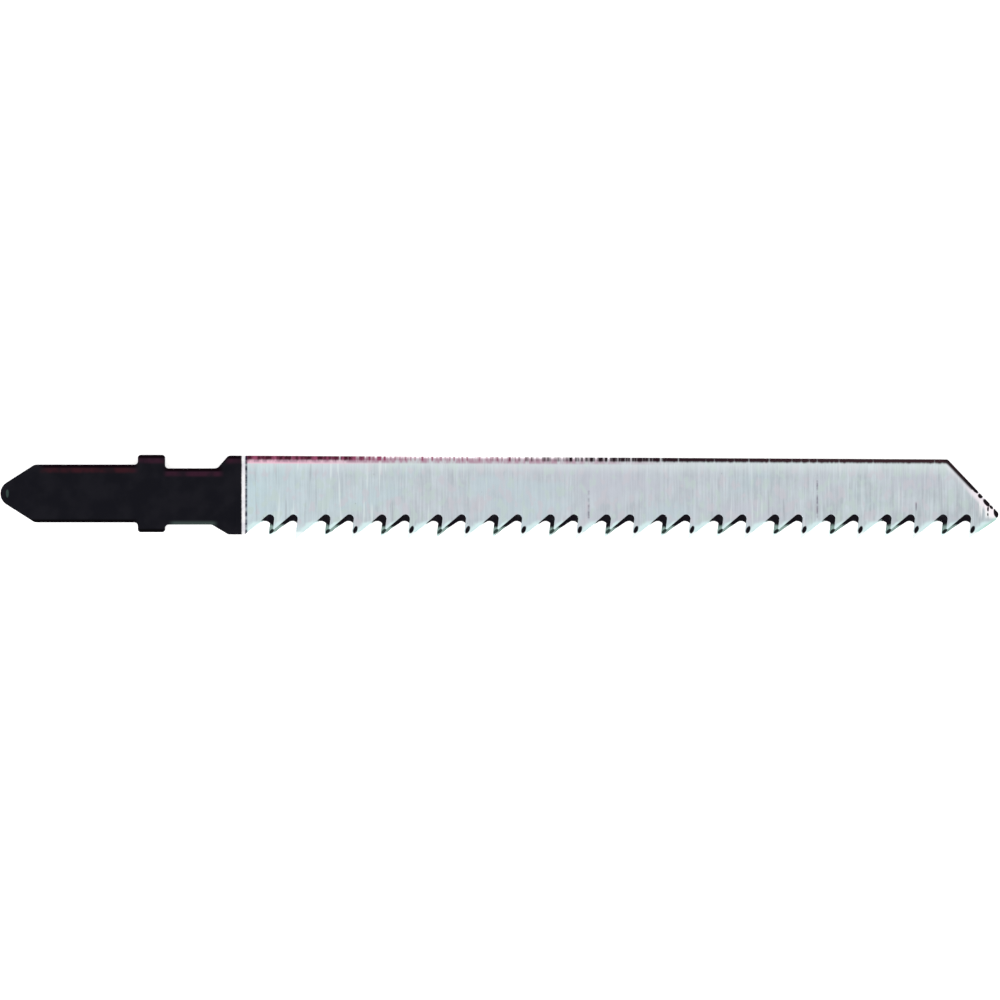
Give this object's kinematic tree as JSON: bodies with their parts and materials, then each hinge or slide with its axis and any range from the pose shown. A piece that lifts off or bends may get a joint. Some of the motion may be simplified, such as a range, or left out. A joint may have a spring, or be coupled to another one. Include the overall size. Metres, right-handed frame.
{
  "type": "jigsaw blade",
  "caption": "Straight T-shank jigsaw blade for wood: black shank with two lugs, ground steel body with a slanted nose, and hooked teeth with alternately slanted gullets.",
  "frame": {"origin": "middle of the T shank between its two lugs, at mid thickness", "axes": "+X along the blade from the shank to the nose, +Y across it to the back edge with the teeth towards -Y, +Z through the thickness; the blade lies on its lower face"},
  "size_m": [0.0999, 0.0085, 0.0016],
  "materials": {
    "steel": "ground body with crosswise grinding marks, satin black coating on the shank up to the heel"
  },
  "bodies": {
    "root": {"blade": "steel"}
  },
  "joints": []
}
